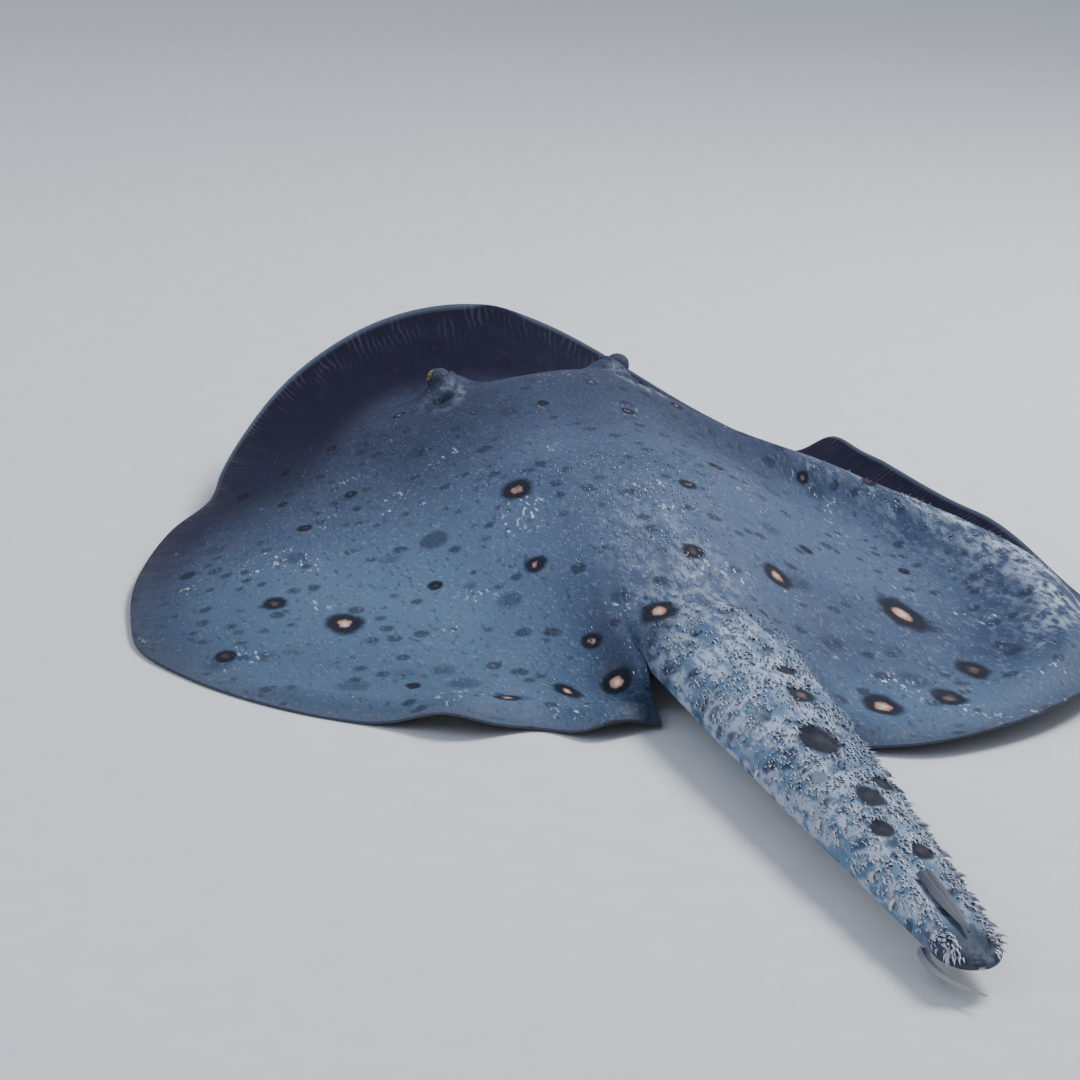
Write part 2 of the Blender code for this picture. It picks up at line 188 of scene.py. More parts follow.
def heights(x, y, on_tail):
    """Heights of the upper and the lower surface above the floor."""
    distance = polar(x, y)[1]
    wing = WING_THICK * np.clip(1 - distance ** 2.2, 0, 1) ** 1.15
    disc = wing + body_dome(x, y) + head_relief(x, y) - crease(x, y)
    disc = disc * np.where(on_tail, 1 - smooth(-y, -NOTCH[1], 0.10 - NOTCH[1]), 1)

    half_width = tail_half_width(y)
    level = tail_level(y)
    round_part = np.sqrt(np.clip(1 - (x / half_width) ** 2, 0, 1))
    inside = np.abs(x) <= half_width
    beside = 1 - smooth(np.abs(x) - half_width, 0, 0.07)
    beside = beside * np.where(on_tail, 1, smooth(y, NOTCH[1] - 0.13, NOTCH[1]) ** 1.4)
    groove = GROOVE_DEPTH * bump(x, 0, GROOVE_WIDTH)
    groove = groove * smooth(-y, GROOVE_START, GROOVE_START + 0.05)
    crown = np.where(inside, level + EDGE + TAIL_ABOVE * half_width * round_part - groove,
                     (level + EDGE) * beside) * smooth(-y, 0.12, 0.42)
    top = (np.maximum(disc, 0) ** 4 + crown ** 4) ** 0.25

    keel = np.where(inside, level - EDGE - TAIL_BELOW * half_width * round_part,
                    (level - EDGE) * beside)
    sole = np.maximum(keel * smooth(-y, 0.31, -NOTCH[1]), pelvic_vault(x, y, on_tail))
    return np.maximum(top, sole + 2 * EDGE), sole + belly_relief(x, y)


def pelvic_vault(x, y, on_tail):
    lateral = smooth(np.abs(x), 0.050, 0.066)
    vault = (PELVIC_THICK + 0.0016) * lateral * smooth(-y, 0.315, 0.345)
    return np.where(on_tail, 0, vault * (1 - smooth(np.hypot(x, y), 0.505, 0.535)))


def belly_relief(x, y):
    """Depth of the mouth, the nasal flap's edge and the five pairs of gill slits."""
    depth = 0.006 * bump(y, 0.232 - 1.6 * x ** 2, 0.0035) * (1 - smooth(np.abs(x), 0.036, 0.046))
    flap = bump(y, 0.262 + 1.2 * x ** 2, 0.003) * (1 - smooth(np.abs(x), 0.03, 0.04))
    depth = depth + 0.004 * flap
    for i in range(5):
        out, ahead = about(x, y, (0.100 - 0.006 * i, 0.130 - 0.034 * i), -12 * DEG)
        slit = bump(ahead, 4.0 * out ** 2, 0.0025) * (1 - smooth(np.abs(out), 0.009, 0.013))
        depth = depth + 0.004 * slit
    return depth


# ---------------------------------------------------------------- the pose

REACH = (  # direction in degrees, how far the waved wing reaches from the middle
    (-180, 0.87), (-171, 0.875), (-165, 0.895), (-159, 0.868), (-153, 0.93), (-147, 0.94),
    (-135, 0.975), (-122, 1.00), (-113, 1.005), (-105, 0.968), (-90, 0.905), (-76, 0.85),
    (-66, 0.802), (-57, 0.825), (-48, 0.86), (-30, 0.945), (-12, 1.00), (15, 1.00),
    (30, 0.93), (45, 0.86), (60, 0.81), (85, 0.82), (100, 0.89), (115, 0.97),
    (128, 1.01), (145, 1.05), (165, 1.04), (180, 1.00),
)


def wing_share(x, y, on_tail):
    """1 where the pose bends the wings, 0 on the tail and its root."""
    lateral = smooth(np.abs(x), 0.055, 0.20)
    lobe = np.where(on_tail, 0, smooth(NOTCH[1] - y, 0, 0.10))
    return 1 - smooth(-y, 0.15, 0.35) * (1 - lateral) * (1 - lobe)


def pose_lift(x, y, on_tail):
    """How far the pose raises each point of the plan."""
    angle, distance = polar(x, y)
    turn = angle / DEG
    right = smooth(turn, 0, 20)
    near_rim = smooth(distance, 0.75, 1.0)

    curl = 0.135 * np.exp(-((turn + 6) / np.where(turn < -6, 36.0, 27.5)) ** 2)
    curl = curl * np.clip((distance - 0.5) / 0.5, 0, 1) ** 1.8
    head = 0.022 * smooth(y, 0.0, 0.30)

    left_arch = 0.022 * bump(turn, -75, 45) * bump(distance, 0.68, 0.22)
    left_arch = left_arch * smooth(distance, 0.25, 0.5)
    left_rim = 0.006 * bump(turn, -85, 22) * near_rim
    waves = 0.020 * bump(turn, -151, 5) + 0.015 * bump(turn, -167, 4) + 0.006 * bump(turn, 165, 9)
    waves = waves * near_rim

    crest = 0.050 * bump(turn, 70 + 150 * (distance - 0.5), 18)
    crest = crest * smooth(distance, 0.35, 0.6) * (1 - 0.5 * smooth(distance, 0.85, 1.0))
    fold = 0.024 * bump(turn, 55, 6) * near_rim
    far_rim = 0.038 * smooth(turn, 46, 68) * (1 - smooth(turn, 88, 112))
    far_rim = far_rim * np.clip((distance - 0.76) / 0.24, 0, 1) ** 1.5
    lift = curl + head + left_arch + left_rim + waves + right * (crest + fold + far_rim)
    return lift * wing_share(x, y, on_tail)


def curve_through(stops, x):
    """A smooth curve through the stops."""
    place, value = np.array(stops).T
    slope = np.gradient(value, place)
    i = np.clip(np.searchsorted(place, x) - 1, 0, len(place) - 2)
    span = place[i + 1] - place[i]
    t = (x - place[i]) / span
    bend = t * (1 - t) ** 2 * slope[i] - t ** 2 * (1 - t) * slope[i + 1]
    return value[i] + t ** 2 * (3 - 2 * t) * (value[i + 1] - value[i]) + span * bend


def head_turn(x, y):
    """How far the head is moved sideways, and its right side turned forwards and raised."""
    share = smooth(y, 0.05, 0.22) * (1 - smooth(polar(x, y)[1], 0.62, 0.88))
    right_side = share * smooth(x, -EYE[0], EYE[0])
    return -0.006 * share, 0.020 * right_side, 0.012 * right_side


def pose(x, y, z, on_tail):
    """From the flat animal, in disc widths, to the model, in metres."""
    angle, distance = polar(x, y)
    reach = curve_through(REACH, angle / DEG)
    scale = 1 - (1 - reach) * smooth(distance, 0.25, 1.0) * wing_share(x, y, on_tail)
    lean = 0.02 * bump(angle / DEG, 0, 35) * np.clip((distance - 0.55) / 0.45, 0, 1) ** 1.5
    aside, ahead, raised = head_turn(x, y)
    height = z + pose_lift(x, y, on_tail) + raised
    points = np.stack([x * scale + lean + aside, y * scale + ahead, height], axis=-1)
    return points * DISC_WIDTH + SHIFT


def top_point(x, y):
    """Points of the upper surface, in metres."""
    on_tail = is_tail(x, y)
    return pose(x, y, heights(x, y, on_tail)[0], on_tail)


def top_frames(x, y):
    """Points of the upper surface, with its normal and the way back to the tail."""
    step = 0.6 * MM
    here = top_point(x, y)
    across = top_point(x + step, y) - top_point(x - step, y)
    back = top_point(x, y - step) - top_point(x, y + step)
    normal = np.cross(back, across)
    normal /= np.linalg.norm(normal, axis=-1, keepdims=True)
    back /= np.linalg.norm(back, axis=-1, keepdims=True)
    return here, normal, back


# ---------------------------------------------------------------- mesh helpers

def add_mesh(name, points, faces, material, smooth_angle=60):
    mesh = bpy.data.meshes.new(name)
    mesh.from_pydata(np.asarray(points).tolist(), [], faces)
    mesh.materials.append(material)
    mesh.shade_smooth()
    mesh.set_sharp_from_angle(angle=smooth_angle * DEG)
    made = bpy.data.objects.new(name, mesh)
    bpy.context.scene.collection.objects.link(made)
    return made


def add_values(made, name, values):
    """One number for each vertex, which the material reads by name."""
    layer = made.data.attributes.new(name, "FLOAT", "POINT")
    layer.data.foreach_set("value", np.asarray(values, np.float32).ravel())


def add_vectors(made, name, values):
    layer = made.data.attributes.new(name, "FLOAT_VECTOR", "POINT")
    layer.data.foreach_set("vector", np.asarray(values, np.float32).ravel())


def add_bake_map(made, places):
    """A UV map, from one place for each vertex."""
    corners = np.empty(len(made.data.loops), np.int64)
    made.data.loops.foreach_get("vertex_index", corners)
    layer = made.data.uv_layers.new(name="OFBake")
    layer.uv.foreach_set("vector", np.asarray(places, np.float32)[corners].ravel())


def bake_place(x, y, below):
    """The plan unwrapped: the upper side on the left half, the lower on the right."""
    across = (x + 0.57) / 1.14 * 0.49 + np.where(below, 0.505, 0.005)
    along = (y - TAIL_TIP + 0.03) / 1.60
    return np.stack([across, along], axis=-1)


def spread(stops, counts):
    """Numbers from the first stop to the last, so many evenly between each two."""
    runs = [np.linspace(a, b, n + 1)[1:] for a, b, n in zip(stops[:-1], stops[1:], counts)]
    return np.concatenate([[stops[0]], *runs])


class Plan:
    """Points and faces seen from above, anticlockwise, with shared corners welded."""

    def __init__(self):
        self.points = []
        self.faces = []
        self.places = {}

    def point(self, xy):
        key = (round(float(xy[0]), 7), round(float(xy[1]), 7))
        if key not in self.places:
            self.places[key] = len(self.points)
            self.points.append(key)
        return self.places[key]

    def face(self, corners):
        ring = []
        for corner in corners:
            if corner not in ring:
                ring.append(corner)
        if len(ring) < 3:
            return
        xy = np.array([self.points[i] for i in ring])
        following = np.roll(xy, -1, axis=0)
        area = np.sum(xy[:, 0] * following[:, 1] - xy[:, 1] * following[:, 0])
        self.faces.append(tuple(ring if area > 0 else ring[::-1]))

    def grid(self, rows):
        named = [[self.point(p) for p in row] for row in rows]
        for near, far in zip(named[:-1], named[1:]):
            for i in range(len(near) - 1):
                self.face([near[i], near[i + 1], far[i + 1], far[i]])

    def closed(self):
        """Faces of the upper side, of the lower side, and of the walls between."""
        count = len(self.points)
        below = [tuple(i + count for i in reversed(f)) for f in self.faces]
        used = {(f[i - 1], f[i]) for f in self.faces for i in range(len(f))}
        walls = [(a, a + count, b + count, b) for a, b in used if (b, a) not in used]
        return self.faces + below + sorted(walls)


# ---------------------------------------------------------------- node helpers

class Shader:
    """A Principled material, with short calls for the nodes that feed it."""

    def __init__(self, name):
        self.material = bpy.data.materials.new(name)
        self.material.use_nodes = True
        self.tree = self.material.node_tree
        self.surface = self.tree.nodes["Principled BSDF"]

    def node(self, kind, **settings):
        made = self.tree.nodes.new("ShaderNode" + kind)
        for key, value in settings.items():
            setattr(made, key, value)
        return made

    def feed(self, socket, value):
        if isinstance(value, bpy.types.NodeSocket):
            self.tree.links.new(value, socket)
        else:
            socket.default_value = value

    def attribute(self, name, output="Fac"):
        return self.node("Attribute", attribute_name=name).outputs[output]

    def set(self, name, value):
        self.feed(self.surface.inputs[name], value)

    def math(self, operation, a, b=0.0):
        made = self.node("Math", operation=operation)
        self.feed(made.inputs[0], a)
        self.feed(made.inputs[1], b)
        return made.outputs[0]

    def times(self, a, b):
        return self.math("MULTIPLY", a, b)

    def plus(self, a, b):
        return self.math("ADD", a, b)

    def inverse(self, value):
        return self.math("SUBTRACT", 1.0, value)

    def ranged(self, value, span, start):
        """From start, where the value is 0, to start + span, where it is 1."""
        made = self.math("MULTIPLY_ADD", value, span)
        made.node.inputs[2].default_value = start
        return made

    def step(self, value, low, high):
        made = self.node("MapRange", interpolation_type="SMOOTHSTEP")
        self.feed(made.inputs["Value"], value)
        self.feed(made.inputs["From Min"], low)
        self.feed(made.inputs["From Max"], high)
        return made.outputs["Result"]

    def mix(self, factor, a, b):
        made = self.node("Mix", data_type="RGBA")
        self.feed(made.inputs["Factor"], factor)
        self.feed(made.inputs["A"], a)
        self.feed(made.inputs["B"], b)
        return made.outputs["Result"]

    def lay(self, colour, over, mask, amount):
        """Another colour over this one, by so much where the mask is 1."""
        return self.mix(self.times(mask, amount), colour, over)

    def stretch(self, place, factors):
        made = self.node("VectorMath", operation="MULTIPLY")
        self.feed(made.inputs[0], place)
        made.inputs[1].default_value = factors
        return made.outputs[0]

    def noise(self, place, scale, detail=2.0):
        made = self.node("TexNoise")
        self.feed(made.inputs["Vector"], place)
        made.inputs["Scale"].default_value = scale
        made.inputs["Detail"].default_value = detail
        return made.outputs["Fac"]

    def cells(self, place, scale):
        """Distance from the nearest of many scattered points, and three random numbers for it."""
        made = self.node("TexVoronoi")
        self.feed(made.inputs["Vector"], place)
        made.inputs["Scale"].default_value = scale
        parts = self.node("SeparateColor")
        self.feed(parts.inputs[0], made.outputs["Color"])
        return made.outputs["Distance"], parts.outputs

    def dots(self, place, scale, smallest, largest, kept, blur):
        """A mask of scattered dots of several sizes; kept is the share of cells with one."""
        distance, chance = self.cells(place, scale)
        size = self.ranged(chance[0], largest - smallest, smallest)
        near = self.math("SUBTRACT", distance, size)
        mask = self.inverse(self.step(near, -blur, blur))
        return self.times(mask, self.math("LESS_THAN", chance[1], kept))

    def bump(self, height, distance):
        made = self.node("Bump")
        self.feed(made.inputs["Height"], height)
        made.inputs["Distance"].default_value = distance
        self.feed(self.surface.inputs["Normal"], made.outputs["Normal"])


def shade(red, green, blue):
    return (red, green, blue, 1.0)


# ---------------------------------------------------------------- the skin

SLATE_DARK = shade(0.026, 0.044, 0.092)
SLATE = shade(0.074, 0.108, 0.184)
PALLOR = shade(0.13, 0.22, 0.34)
GRAIN = shade(0.098, 0.118, 0.175)
# pale denticle patches, and the painted highlight on the right wing's crest
PALE_PATCH_AND_HIGHLIGHT = shade(0.36, 0.42, 0.53)
FRECKLE = shade(0.014, 0.020, 0.040)
FLECK = shade(0.20, 0.27, 0.40)
PIT = shade(0.014, 0.020, 0.042)
GLINT = shade(0.50, 0.60, 0.72)
# painted shade, laid over the head, the far fold, the left rim and the valley by the tail's root
PAINTED_SHADE = shade(0.020, 0.022, 0.046)
OCELLUS_RING = shade(0.009, 0.010, 0.020)
OCELLUS_YOLK = shade(0.46, 0.25, 0.18)
OCELLUS_CORE = shade(0.76, 0.64, 0.58)
RIM = shade(0.040, 0.032, 0.040)
# darker pigment and painted shade for the curled rim and the far wing's edge
CURL_PIGMENT_AND_SHADE = shade(0.011, 0.010, 0.024)
RAY = shade(0.15, 0.15, 0.20)
# painted highlight along the curled rim's edge
PAINTED_EDGE_HIGHLIGHT = shade(0.20, 0.26, 0.36)
TAIL_END = shade(0.022, 0.023, 0.032)
BELLY = shade(0.62, 0.59, 0.56)
BELLY_EDGE = shade(0.07, 0.068, 0.078)

COLUMNS = spread((0, 14 * DEG, 37 * DEG, LOBE_CORNER), (12, 54, 132))
SHARES = spread((0, 0.37, 0.60, 0.90, 1.0), (24, 40, 22, 12))
TAIL_ROWS = spread((NOTCH[1], -0.93, TAIL_TIP), (150, 24))
ACROSS = [math.sin(math.pi / 2 * (2 * i / 40 - 1)) for i in range(41)]

OCELLI = (  # to the right, forwards, radius, how bright its centre is, length over width
    (-0.30, -0.23, 0.018, 1.0, 1.3), (-0.145, -0.43, 0.015, 0.7, 1.0),
    (-0.095, -0.42, 0.0135, 1.0, 1.5), (-0.208, -0.447, 0.013, 0.4, 1.0),
    (-0.105, -0.09, 0.016, 0.6, 1.2), (-0.12, -0.22, 0.012, 0.5, 1.1),
    (-0.19, -0.11, 0.014, 0.0, 1.2), (-0.10, -0.35, 0.011, 0.6, 1.1),
    (-0.04, -0.355, 0.017, 0.8, 1.5), (0.10, -0.265, 0.014, 0.7, 1.4),
    (0.22, -0.27, 0.021, 1.0, 1.7), (0.13, -0.452, 0.015, 0.8, 1.6),
    (0.19, -0.436, 0.014, 0.15, 1.6), (0.235, -0.382, 0.014, 0.15, 1.6),
    (-0.35, -0.165, 0.012, 0.1, 1.2), (-0.41, -0.25, 0.011, 0.1, 1.2),
    (-0.08, 0.445, 0.011, 0.2, 1.0), (-0.13, 0.415, 0.011, 0.2, 1.0),
    (0.0, -0.66, 0.017, 0.02, 1.8), (0.016, -0.573, 0.013, 0.2, 1.3),
    (0.004, -0.762, 0.012, 0.02, 1.7), (-0.006, -0.815, 0.010, 0.02, 1.6),
    (0.012, -0.85, 0.009, 0.02, 1.5), (-0.028, -0.60, 0.009, 0.0, 1.5),
    (0.02, -0.52, 0.009, 0.02, 1.3), (-0.022, -0.72, 0.008, 0.0, 1.5),
    (0.026, -0.735, 0.010, 0.02, 1.5),
)


def scattered_ocelli():
    """The ocelli above, and a few small faint ones where there is room."""
    dice = random.Random(11)
    placed = list(OCELLI)
    for share, count in ((0.84, 20), (0.66, 13), (0.47, 8), (0.28, 5)):
        for i in range(count):
            angle = ((i + dice.uniform(-0.4, 0.4)) / count * 2 - 1) * math.pi
            radius = (share + dice.uniform(-0.07, 0.07)) * float(envelope(angle))
            x = radius * math.sin(angle)
            y = radius * math.cos(angle)
            apart = min(math.hypot(x - o[0], y - o[1]) for o in placed)
            near_eye = math.hypot(abs(x) - EYE[0], y - EYE[1]) < 0.05
            if apart > 0.07 and not near_eye and not (abs(x) < 0.05 and y < -0.3):
                placed.append((x, y, dice.uniform(0.007, 0.012), dice.uniform(0.0, 0.30), 1.1))
    return placed


def ocellus_fields(x, y):
    """Distance from the nearest ocellus, 1 at its outer edge, and its brightness."""
    field = np.full(np.shape(x), 3.0)
    bright = np.zeros(np.shape(x))
    for cx, cy, radius, centre, length in scattered_ocelli():
        distance = np.hypot(x - cx, (y - cy) / length) / radius
        bright = np.where(distance < field, centre, bright)
        field = np.minimum(field, distance)
    return field, bright


def back_colour(skin, flat, along, grain):
    """Cloudy slate, paler in the middle partly as a painted light falloff, paler on the tail and
    behind, with pale patches of dense denticles and a painted highlight on the right wing's
    crest.
    """
    clouds_and_light_falloff = skin.times(skin.step(skin.noise(flat, 6.0, 4.0), 0.36, 0.66), 0.50)
    # the tone field is partly the skin's own tone and partly a painted light falloff, paler in
    # the middle of the back
    clouds_and_light_falloff = skin.plus(clouds_and_light_falloff, skin.times(skin.attribute("tone_and_light_falloff"), 0.62))
    colour = skin.mix(clouds_and_light_falloff, SLATE_DARK, SLATE)
    colour = skin.mix(skin.attribute("pallor"), colour, PALLOR)
    colour = skin.lay(colour, GRAIN, skin.step(grain, 0.45, 0.75), 0.45)
    blotches = skin.step(skin.noise(along, 30.0, 3.0), 0.36, 0.60)
    # pale patches of dense denticles, with a painted highlight along the right wing's crest
    patches = skin.times(skin.attribute("pale"), blotches)
    patches = skin.times(patches, skin.step(skin.noise(along, 110.0, 4.0), 0.36, 0.60))
    return skin.lay(colour, PALE_PATCH_AND_HIGHLIGHT, patches, 0.85)


def speckled(skin, colour, flat, along):
    """Dark smudges and freckles, pale flecks, dark pits, glints in clusters, and painted shade
    over the head, the far fold, the left rim and its valley.
    """
    colour = skin.lay(colour, FRECKLE, skin.dots(flat, 22.0, 0.12, 0.36, 0.45, 0.12), 0.50)
    colour = skin.lay(colour, FRECKLE, skin.dots(flat, 46.0, 0.14, 0.38, 0.55, 0.10), 0.68)
    colour = skin.lay(colour, FLECK, skin.step(skin.noise(along, 205.0), 0.56, 0.70), 0.34)
    colour = skin.lay(colour, PIT, skin.step(skin.noise(along, 120.0), 0.60, 0.70), 0.45)
    glints = skin.step(skin.noise(along, 150.0), 0.60, 0.67)
    glints = skin.times(glints, skin.step(skin.noise(flat, 13.0), 0.58, 0.68))
    colour = skin.lay(colour, GLINT, glints, 0.85)
    # painted shade over the head, the far fold, the left rim and the valley by the tail's root
    return skin.mix(skin.attribute("painted_shade"), colour, PAINTED_SHADE)


def with_ocelli(skin, colour, flat):
    """Dark rings with ragged edges, and pale centres in the brighter ones."""
    wobble = skin.times(skin.math("SUBTRACT", skin.noise(flat, 60.0), 0.5), 0.45)
    ring = skin.plus(skin.attribute("ocellus"), wobble)
    bright = skin.attribute("bright")
    depth = skin.ranged(skin.step(bright, 0.0, 0.02), 0.41, 0.55)
    for over, inner, outer, amount in ((OCELLUS_RING, 0.72, 1.18, depth),
                                       (OCELLUS_YOLK, 0.30, 0.46, bright),
                                       (OCELLUS_CORE, 0.06, 0.32, bright)):
        colour = skin.lay(colour, over, skin.inverse(skin.step(ring, inner, outer)), amount)
    return colour


def with_rim(skin, colour, flat, share, curl):
    """The dark curled rim, partly darker pigment and partly painted shade, with faint rays across
    it and a painted highlight along its edge, and the dark tail tip.
    """
    colour = skin.lay(colour, RIM, skin.step(share, 0.92, 1.0), 0.40)
    # darker pigment and painted shade on the curled rim and the far wing's edge
    colour = skin.lay(colour, CURL_PIGMENT_AND_SHADE, curl, 0.94)
    waves = skin.plus(skin.times(skin.attribute("turn"), 400.0),
                      skin.times(skin.noise(flat, 26.0, 3.0), 16.0))
    rays = skin.times(skin.step(skin.math("SINE", waves), 0.3, 1.0),
                      skin.step(skin.noise(flat, 38.0, 3.0), 0.42, 0.66))
    colour = skin.lay(colour, RAY, skin.times(rays, skin.step(share, 0.88, 1.0)), 0.17)
    # painted highlight along the very edge of the curled rim
    edge = skin.times(skin.step(share, 0.985, 1.0), curl)
    colour = skin.lay(colour, PAINTED_EDGE_HIGHLIGHT, edge, 0.35)
    return skin.lay(colour, TAIL_END, skin.attribute("tip"), 0.75)


def skin_material():
    skin = Shader("skin")
    flat = skin.attribute("flat", "Vector")
    share = skin.attribute("share")
    curl = skin.attribute("curl")
    along = skin.stretch(flat, (1.5, 0.6, 1.5))
    grain = skin.noise(along, 75.0, 3.0)

    colour = back_colour(skin, flat, along, grain)
    colour = speckled(skin, colour, flat, along)
    colour = with_ocelli(skin, colour, flat)
    colour = with_rim(skin, colour, flat, share, curl)
    ragged = skin.plus(share, skin.times(skin.noise(flat, 22.0, 3.0), 0.14))
    belly = skin.mix(skin.step(ragged, 0.94, 1.01), BELLY, BELLY_EDGE)
    skin.set("Base Color", skin.mix(skin.attribute("under"), colour, belly))

    shine = skin.step(skin.noise(flat, 50.0, 3.0), 0.30, 0.70)
    skin.set("Roughness", skin.plus(skin.ranged(shine, 0.16, 0.50), skin.times(curl, 0.40)))
    skin.set("IOR", 1.20)

    relief = skin.times(skin.inverse(skin.cells(flat, 230.0)[0]), 0.6)
    quiet = skin.inverse(skin.times(curl, 0.7))
    skin.bump(skin.times(skin.plus(relief, grain), quiet), 0.00035)
    return skin.material


def curl_pigment_and_painted_shade(x, y):
    """1 on the thin dark rim that curls up in front, and on the far wing's edge, where darker
    pigment and painted shade are laid.
    """
    angle, distance = polar(x, y)
    turn = angle / DEG
    inner = 0.72 - 0.12 * smooth(-turn, 15, 50)
    front = np.exp(-(np.abs(turn + 15) / 50) ** 4) * smooth(distance, inner - 0.02, inner + 0.13)
    far_side = smooth(turn, 38, 50) * (1 - smooth(turn, 92, 112))
    far_inner = 0.86 + 0.0011 * (turn - 60)
    far_side = far_side * smooth(distance, far_inner, far_inner + 0.04)
    return np.clip(front + far_side, 0, 1)


def painted_shade_amount(x, y):
    """Painted shade: how much darker than the back are the head, the far fold, the left rim and
    crease.
    """
    angle, distance = polar(x, y)
    turn = angle / DEG
    head = 0.64 * smooth(y, -0.12, 0.20)
    fold = 0.40 * smooth(x, 0.22, 0.34) * smooth(y, -0.12, 0.02)
    left = 0.22 * smooth(-x, 0.10, 0.25) * smooth(distance, 0.45, 0.90)
    band = smooth(-turn, 52, 72) * (1 - smooth(-turn, 112, 130)) * smooth(distance, 0.84, 0.94)
    valley = bump(x, -0.086, 0.016) * smooth(-y, 0.26, 0.36) * (y > NOTCH[1] - 0.02)
    return np.clip(np.maximum(head, fold) + left + 0.35 * band + 0.55 * valley, 0, 1)


def back_tone_and_light_falloff(x, y):
    """Paler on the middle of the back than towards the rim and the head, partly the skin's own
    tone and partly a painted light falloff.
    """
    distance = polar(x, y)[1]
    return (1 - smooth(distance, 0.40, 0.92)) * (1 - 0.7 * smooth(y, -0.05, 0.20))


def pallor(x, y):
    """How much paler than the back are the tail, the left wing's rear and the right lobe."""
    left = 0.50 * smooth(-x, 0.05, 0.22) * smooth(-y, -0.05, 0.22)
    right = 0.35 * smooth(x, 0.07, 0.12) * smooth(-y, 0.36, 0.46)
    tail = 0.80 * smooth(-y, 0.36, 0.52) * (np.abs(x) < NOTCH[0])
    return np.maximum(np.maximum(left, right), tail)


def crest_line(x, y):
    """1 along the crest of the right wing's wave."""
    angle, distance = polar(x, y)
    crest = bump(angle / DEG, 70 + 150 * (distance - 0.5), 13) * smooth(distance, 0.50, 0.62)
    return crest * (x > 0) * (y > -0.38) * (1 - curl_pigment_and_painted_shade(x, y))


def pale_patches_and_crest_highlight(x, y):
    """Where dense denticles make the skin paler, and a painted highlight along the right wing's
    crest.
    """
    tail = smooth(-y, 0.36, 0.52) * (np.abs(x) < NOTCH[0])
    back = 0.7 * bump(x, 0, 0.05) * smooth(-y, 0.05, 0.35)
    cheek = 1.2 * bump(spiracle_ring(x, y), 1.7, 0.6)
    # the crest term is a painted highlight on the right wing's wave, over its pale denticles
    return np.clip(1.6 * tail + back + 1.5 * crest_line(x, y) + cheek, 0, 1.6)


def pelvic_fin(side):
    """Plan rows, thickness and height of the floor under one pelvic fin."""
    plan = Plan()
    rows = []
    for i in range(31):
        turn = (70 + 112 * i / 30) * DEG
        length = 0.100 + 0.034 * math.sin(math.pi * (i / 30) ** 1.4)
        rows.append([(side * (0.085 + r * math.sin(turn)), -0.365 + r * math.cos(turn))
                     for r in np.linspace(0.004, length, 17)])
    plan.grid(rows)
    x, y = np.array(plan.points).T
    reach = np.hypot(np.abs(x) - 0.085, y + 0.365) / 0.135
    thick = PELVIC_THICK * (1 - 0.6 * smooth(reach, 0.1, 1.0))
    thick = thick + 0.006 * (1 - smooth(reach, 0.05, 0.3))
    floor = -pose_lift(x, y, False)
    points = np.concatenate([pose(x, y, floor + thick, False), pose(x, y, floor, False)])
    return points, plan.closed(), x, y


def make_skin():
    plan = Plan()
    for side in (-1, 1):
        plan.grid([wing_column(a, SHARES, side) for a in COLUMNS])
    behind = [column_root(a) for a in COLUMNS if a >= FAN_END]
    plan.grid([[(root[0] * q, root[1]) for q in ACROSS] for root in behind])
    fan = [column_root(a) for a in COLUMNS if a < FAN_END] + [behind[0]]
    loop = fan + [(behind[0][0] * q, behind[0][1]) for q in ACROSS[-2:0:-1]]
    loop += [(-x, y) for x, y in fan[::-1]]
    middle = plan.point((0.0, 0.0))
    for a, b in zip(loop[:-1], loop[1:]):
        plan.face([middle, plan.point(a), plan.point(b)])
    plan.grid([[(tail_half_width(y) * q, y) for q in ACROSS] for y in TAIL_ROWS])

    x, y = np.array(plan.points).T
    on_tail = is_tail(x, y)
    top, sole = heights(x, y, on_tail)
    points = [pose(x, y, top, on_tail), pose(x, y, sole, on_tail)]
    faces = plan.closed()
    xs, ys, zs = [x, x], [y, y], [top, sole]
    below = [np.zeros(len(x)), np.ones(len(x))]
    for side in (-1, 1):
        start = sum(map(len, points))
        fin_points, fin_faces, fin_x, fin_y = pelvic_fin(side)
        points.append(fin_points)
        faces += [tuple(i + start for i in f) for f in fin_faces]
        xs += [fin_x, fin_x]
        ys += [fin_y, fin_y]
        zs += [0 * fin_x, 0 * fin_x]
        below += [np.ones(2 * len(fin_x))]
    x, y, flat_z, below = (np.concatenate(part) for part in (xs, ys, zs, below))

    skin = add_mesh("skin", np.concatenate(points), faces, skin_material())
    angle = polar(x, y)[0]
    side_line = np.abs(x) / tail_half_width(y)
    white = np.where(is_tail(x, y), 1 - smooth(side_line, 0.40, 0.70), 1) * below
    ocellus, bright = ocellus_fields(x, y)
    add_vectors(skin, "flat", np.stack([x, y, flat_z], axis=-1))
    add_values(skin, "share", np.where(is_tail(x, y), 0.5, np.hypot(x, y) / rim_radius(angle)))
    add_values(skin, "turn", np.abs(angle))
    add_values(skin, "ocellus", ocellus)
    add_values(skin, "bright", bright)
    add_values(skin, "curl", curl_pigment_and_painted_shade(x, y))
    add_values(skin, "painted_shade", painted_shade_amount(x, y))
    add_values(skin, "tone_and_light_falloff", back_tone_and_light_falloff(x, y))
    add_values(skin, "pallor", pallor(x, y))
    add_values(skin, "pale", pale_patches_and_crest_highlight(x, y))
    add_values(skin, "tip", smooth(-y, 0.93, 0.975))
    add_values(skin, "under", white)
    add_bake_map(skin, bake_place(x, y, below > 0.5))
    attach(skin, "root")
    eyes_and_stings = {"left_eye", "right_eye", "sting", "old_sting"}
    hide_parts(*sorted(set(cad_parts) - eyes_and_stings))


# ---------------------------------------------------------------- thorns and denticles

